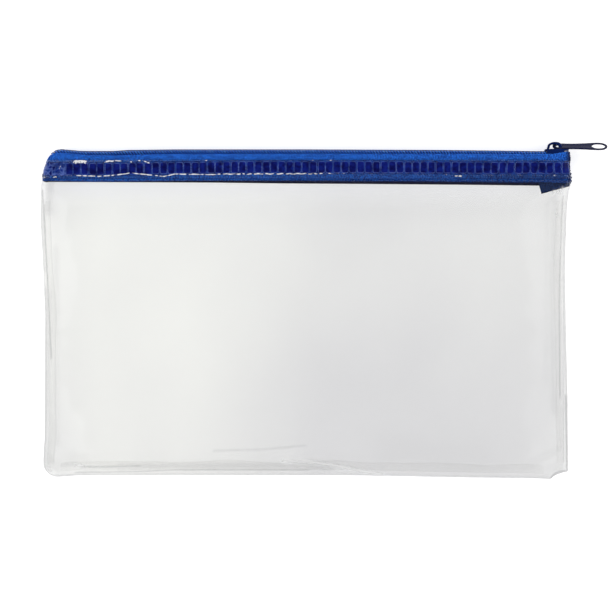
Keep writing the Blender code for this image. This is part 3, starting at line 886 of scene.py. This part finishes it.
def make_coil(half, side, nylon, thread):
    """The nylon coil: level legs across the tape, a broadened head in the middle and a slanted outer bend."""
    steps = 14
    inner = -0.72 * MM
    outer = coil_high.z - CHAIN_Z - COIL_WIRE
    first_x = COIL_START_X - 2.2 * MM
    turns = int((COIL_END_X - first_x) / COIL_PITCH) - 1
    angle = np.linspace(0.0, 2 * math.pi * turns, steps * turns + 1)
    share = (angle / (2 * math.pi)) % 1.0
    turn = np.floor(angle / (2 * math.pi) + 1e-9)
    start_x = first_x + COIL_PITCH * (0.05 if side > 0 else 0.55)
    x = start_x + COIL_PITCH * (turn + ramp(share, 0.3, 0.7))
    z_share = 0.5 - 0.5 * signed_power(np.cos(angle), 0.75)
    z = CHAIN_Z + side * (inner + (outer - inner) * z_share)
    middle_y, half_y = coil_levels(x)
    y = middle_y + half_y * signed_power(np.sin(angle), 0.7)
    line = np.stack([x, y, z], -1)
    head = 1.0 + 0.25 * ramp(z_share, 0.25, 0.0)
    coil = tube_object(f"{half}_nylon_coil", line, COIL_WIRE, 8, nylon, (1, 0, 0), wide=head)
    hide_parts(f"{half}_coil")
    run = np.linspace(COIL_START_X - MM, COIL_END_X - MM, 400)
    middle_z = CHAIN_Z + side * (inner + outer) / 2 + side * 0.35 * MM
    cord_y, room = coil_levels(run)
    cord_line = np.stack([run, cord_y, np.full_like(run, middle_z)], -1)
    wide = (room - COIL_WIRE) / (0.36 * MM)
    cord = tube_object(f"{half}_filler_cord", cord_line, 0.36 * MM, 8, thread, (0, 1, 0), wide=wide)
    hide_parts(f"{half}_coil_cord")
    sewn = np.linspace(COIL_START_X, COIL_END_X - MM, turns * 8)
    beat = sewn / COIL_PITCH * 2 * math.pi
    rows = []
    for offset, lift in ((1.35, 0.0), (2.15, math.pi)):
        zig = 0.13 * MM * np.sin(beat / 2 + lift)
        bob = 0.05 * MM * np.cos(beat)
        stitch_y = coil_high.y + bob + chain_shift(sewn)
        stitch = np.stack([sewn, stitch_y, CHAIN_Z + side * (offset * MM + zig)], -1)
        row_name = f"{half}_stitch_row_{len(rows) + 1}"
        rows.append(tube_object(row_name, stitch, 0.13 * MM, 6, thread, (0, 1, 0)))
        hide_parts(f"{half}_coil_stitching")
    return [coil, cord, *rows]


# The slider and its pull tab


def plate_shell(bm, low_y, high_y, nose=0.0):
    """A slider plate: a rounded outline, wider towards its nose, raised into a plate."""
    middle = (slider_low.x + slider_high.x + nose) / 2
    half_length = (slider_high.x + nose - slider_low.x) / 2
    wide = (slider_high.z - slider_low.z) / 2
    angle = np.linspace(0, 2 * math.pi, 56, endpoint=False)
    x = middle + half_length * signed_power(np.cos(angle), 0.5)
    width = wide * (0.86 + 0.14 * ramp(x, middle - 2 * MM, middle + 3 * MM))
    z = CHAIN_Z + width * signed_power(np.sin(angle), 0.5)
    face = bm.faces.new([bm.verts.new((px, low_y, pz)) for px, pz in zip(x, z)])
    raised = bmesh.ops.extrude_face_region(bm, geom=[face])
    moved = [item for item in raised["geom"] if isinstance(item, bmesh.types.BMVert)]
    bmesh.ops.translate(bm, vec=(0, high_y - low_y, 0), verts=moved)


def block(bm, low, high):
    made = bmesh.ops.create_cube(bm, size=1.0)
    low, high = Vector(low), Vector(high)
    bmesh.ops.scale(bm, vec=high - low, verts=made["verts"])
    bmesh.ops.translate(bm, vec=(low + high) / 2, verts=made["verts"])


def bridge_line(foot_y):
    """The bridge: a flat arch over the top plate that the tab's eye rides on."""
    angle = np.linspace(-0.25, math.pi + 0.1, 34)
    points = [(PULL_PIVOT.x + 4.2 * MM, foot_y)]
    points += [(PULL_PIVOT.x + 2.7 * MM * math.cos(a), PULL_PIVOT.y + 1.5 * MM * math.sin(a)) for a in angle]
    points += [(PULL_PIVOT.x - 3.3 * MM, foot_y)]
    return [(x, y, CHAIN_Z) for x, y in points]


def cast_skin(obj, voxel, smooth_steps):
    """Joins the object's overlapping shells into one cast skin with softened edges."""
    remesh = obj.modifiers.new("cast_skin", "REMESH")
    remesh.mode = "VOXEL"
    remesh.voxel_size = voxel
    remesh.use_smooth_shade = True
    soft = obj.modifiers.new("soft_edges", "SMOOTH")
    soft.factor = 0.5
    soft.iterations = smooth_steps
    graph = bpy.context.evaluated_depsgraph_get()
    mesh = bpy.data.meshes.new_from_object(obj.evaluated_get(graph))
    obj.modifiers.clear()
    obj.data = mesh
    mesh.shade_smooth()


def make_slider(paint):
    bm = bmesh.new()
    top_low = coil_high.y + 0.35 * MM
    top_high = top_low + PLATE
    plate_shell(bm, top_low, top_high, nose=1.6 * MM)
    plate_shell(bm, slider_low.y, slider_low.y + PLATE)
    for side in (-1, 1):
        ends = sorted((CHAIN_Z + side * 3.15 * MM, CHAIN_Z + side * 3.8 * MM))
        low = (slider_low.x + 0.8 * MM, coil_low.y, ends[0])
        block(bm, low, (slider_high.x - 0.7 * MM, top_low + 0.4 * MM, ends[1]))
    post_low = (slider_high.x - 1.3 * MM, slider_low.y + 0.3 * MM, CHAIN_Z - POST_HALF_WIDTH)
    block(bm, post_low, (slider_high.x - 0.4 * MM, top_low + 0.4 * MM, CHAIN_Z + POST_HALF_WIDTH))
    bmesh.ops.recalc_face_normals(bm, faces=bm.faces)
    mesh = bpy.data.meshes.new("slider_casting")
    bm.to_mesh(mesh)
    bm.free()
    slider = add_object("slider_casting", mesh, paint)
    line = bridge_line(top_low + 0.3 * MM)
    heavy = np.interp(np.arange(len(line)), (0, 10, 24, len(line)), (0.95, 0.82, 0.54, 0.6)) * MM
    bridge = tube_object("bridge_guide", line, heavy, 14, paint, (0, 0, 1), wide=1.3)
    merged = bmesh.new()
    merged.from_mesh(slider.data)
    merged.from_mesh(bridge.data)
    merged.to_mesh(slider.data)
    merged.free()
    bpy.data.objects.remove(bridge)
    cast_skin(slider, 0.11 * MM, 2)
    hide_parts("slider_body")
    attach(slider, SLIDER)


TAB_ROLL = math.radians(35.0)
TAB_OUTLINE = (
    (-0.9, 0.0),
    (-0.5, 1.6),
    (0.9, 2.3),
    (3.2, 2.3),
    (6.0, 2.15),
    (13.0, 2.35),
    (18.5, 2.9),
    (21.0, 2.95),
    (23.2, 2.2),
    (24.3, 0.0),
)
TAB_EYE = ((0.6, 0.0), (1.9, 1.15), (3.3, 0.0))
TAB_SLOT = ((17.1, 0.0), (18.3, 1.7), (20.6, 2.15), (22.3, 1.55), (23.2, 0.0))


def add_outline(curve, half, inset):
    """A closed smooth outline through the half's points and their mirror images."""
    points = list(half) + [(x, -y) for x, y in reversed(half) if y > 0]
    spline = curve.splines.new("BEZIER")
    spline.bezier_points.add(len(points) - 1)
    middle = (half[0][0] + half[-1][0]) / 2
    for knot, (x, y) in zip(spline.bezier_points, points):
        knot.co = ((x - inset * np.sign(x - middle)) * MM, (y - inset * np.sign(y)) * MM, 0.0)
        knot.handle_left_type = "AUTO"
        knot.handle_right_type = "AUTO"
    spline.use_cyclic_u = True


def make_pull_tab(paint):
    """The stamped tab: an eye round the bridge, a long arm and a slot near its tip, with rolled edges."""
    rolled = 0.22
    plate = bpy.data.curves.new("pull_tab_plate", "CURVE")
    plate.dimensions = "2D"
    plate.fill_mode = "BOTH"
    plate.extrude = (0.36 - rolled) * MM
    plate.bevel_depth = rolled * MM
    plate.bevel_resolution = 3
    plate.resolution_u = 14
    add_outline(plate, TAB_OUTLINE, rolled)
    add_outline(plate, TAB_EYE, -rolled)
    add_outline(plate, TAB_SLOT, -rolled)
    guide = bpy.data.objects.new("pull_tab_guide", plate)
    bpy.context.scene.collection.objects.link(guide)
    graph = bpy.context.evaluated_depsgraph_get()
    mesh = bpy.data.meshes.new_from_object(guide.evaluated_get(graph))
    bpy.data.objects.remove(guide)
    bm = bmesh.new()
    bm.from_mesh(mesh)
    bmesh.ops.remove_doubles(bm, verts=bm.verts, dist=0.002 * MM)
    bm.to_mesh(mesh)
    bm.free()
    mesh.shade_smooth()
    mesh.set_sharp_from_angle(angle=math.radians(35))
    tab = add_object("pull_tab_plate", mesh, paint)
    tab.location = PULL_PIVOT
    tab.rotation_euler = (math.pi / 2 + TAB_ROLL, 0.0, 0.0)
    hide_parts("pull_tab")
    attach(tab, PULL)


# Baked transforms


def bow_with_lip(piece):
    """Bakes the piece's transform into its mesh."""
    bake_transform(piece)


# Studio


def make_world():
    """Soft light from a broad ring overhead, dimmer at its middle and near the floor."""
    world = bpy.data.worlds.new("studio")
    world.use_nodes = True
    nodes, links = world.node_tree.nodes, world.node_tree.links
    nodes.clear()
    place = nodes.new("ShaderNodeTexCoord")
    split = nodes.new("ShaderNodeSeparateXYZ")
    strengths = nodes.new("ShaderNodeValToRGB")
    levels = (
        (0.0, HORIZON_LIGHT),
        (0.25, HORIZON_LIGHT),
        (0.5, RING_LIGHT),
        (0.78, RING_LIGHT),
        (0.96, OVERHEAD_LIGHT),
    )
    for stop, (place_z, level) in enumerate(levels):
        stops = strengths.color_ramp.elements
        element = stops[stop] if stop < 2 else stops.new(place_z)
        element.position = place_z
        element.color = (level, level, level, 1.0)
    lit = nodes.new("ShaderNodeBackground")
    seen = nodes.new("ShaderNodeBackground")
    for background in (lit, seen):
        background.inputs["Color"].default_value = colour(1, 1, 1)
    path = nodes.new("ShaderNodeLightPath")
    chosen = nodes.new("ShaderNodeMixShader")
    out = nodes.new("ShaderNodeOutputWorld")
    links.new(place.outputs["Generated"], split.inputs[0])
    links.new(split.outputs["Z"], strengths.inputs[0])
    links.new(strengths.outputs["Color"], lit.inputs["Color"])
    links.new(path.outputs["Is Camera Ray"], chosen.inputs[0])
    links.new(lit.outputs[0], chosen.inputs[1])
    links.new(seen.outputs[0], chosen.inputs[2])
    links.new(chosen.outputs[0], out.inputs["Surface"])
    bpy.context.scene.world = world
    bpy.context.scene.view_settings.view_transform = "Standard"
    # Light crosses up to eight faces of vinyl on its way down to the floor and as many on its way back
    bpy.context.scene.cycles.transparent_max_bounces = 24


def make_floor():
    mesh = bpy.data.meshes.new("floor")
    bm = bmesh.new()
    bmesh.ops.create_grid(bm, x_segments=1, y_segments=1, size=3.0)
    bmesh.ops.translate(bm, vec=(0, 0, -0.1 * MM), verts=bm.verts)
    bm.to_mesh(mesh)
    bm.free()
    add_object("floor", mesh, floor_material())


def make_lights():
    for name, place, size, power in LIGHTS:
        light = bpy.data.lights.new(name, "AREA")
        light.shape = "SQUARE"
        light.size = size
        light.energy = power
        lamp = bpy.data.objects.new(name, light)
        lamp.location = place
        lamp.rotation_mode = "QUATERNION"
        lamp.rotation_quaternion = (-Vector(place)).to_track_quat("-Z", "Y")
        bpy.context.scene.collection.objects.link(lamp)


def make_camera():
    """Straight above the bag, looking down, with the zip at the top of the view."""
    data = bpy.data.cameras.new("camera")
    data.sensor_width = 36.0
    data.lens = data.sensor_width * VIEW_HEIGHT / VIEW_WIDTH
    camera = bpy.data.objects.new("camera", data)
    camera.location = (-0.7 * MM, 4.6 * MM, VIEW_HEIGHT + CHAIN_Z)
    bpy.context.scene.collection.objects.link(camera)
    bpy.context.scene.camera = camera


make_camera()
make_world()
make_floor()
make_lights()
clear_vinyl = vinyl_material("clear_vinyl")
seam_vinyl = vinyl_material("seam_vinyl", cloud=0.005, fresh=1.0)
welded_vinyl = vinyl_material("welded_vinyl", cloud=0.018, welded=True)
blue_weave = weave_material("blue_weave")
# A copy of the weave with painted shade, for the tail that lies in shadow under the vinyl
shaded_weave = weave_material("shaded_weave", shade=0.16)
blue_nylon = nylon_material("blue_nylon")
# A copy of the nylon with painted shade, for the back coil
shaded_nylon = nylon_material("shaded_nylon", shade=0.4)
blue_thread = thread_material("blue_thread")
navy_paint = paint_material("navy_paint", colour(0.004, 0.02, 0.13), colour(0.001, 0.004, 0.04), 0.2)
tab_paint = paint_material("tab_paint", colour(0.008, 0.012, 0.06), colour(0.001, 0.003, 0.03), 0.06)

panels = make_panels(clear_vinyl, welded_vinyl)
make_seam_allowances(seam_vinyl)
front_tape, tape_width = make_tape("front", 1, blue_weave)
back_tape, _ = make_tape("back", -1, blue_weave)
make_tail(shaded_weave)
for piece in make_coil("back", -1, shaded_nylon, blue_thread):
    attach(piece, BACK)
for piece in make_coil("front", 1, blue_nylon, blue_thread):
    bow_with_lip(piece)
for piece in (back_tape, panels["back"], panels["back_strip"]):
    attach(piece, BACK)
for piece in (front_tape, panels["front"], panels["front_strip"]):
    bow_with_lip(piece)
make_slider(navy_paint)
make_pull_tab(tab_paint)
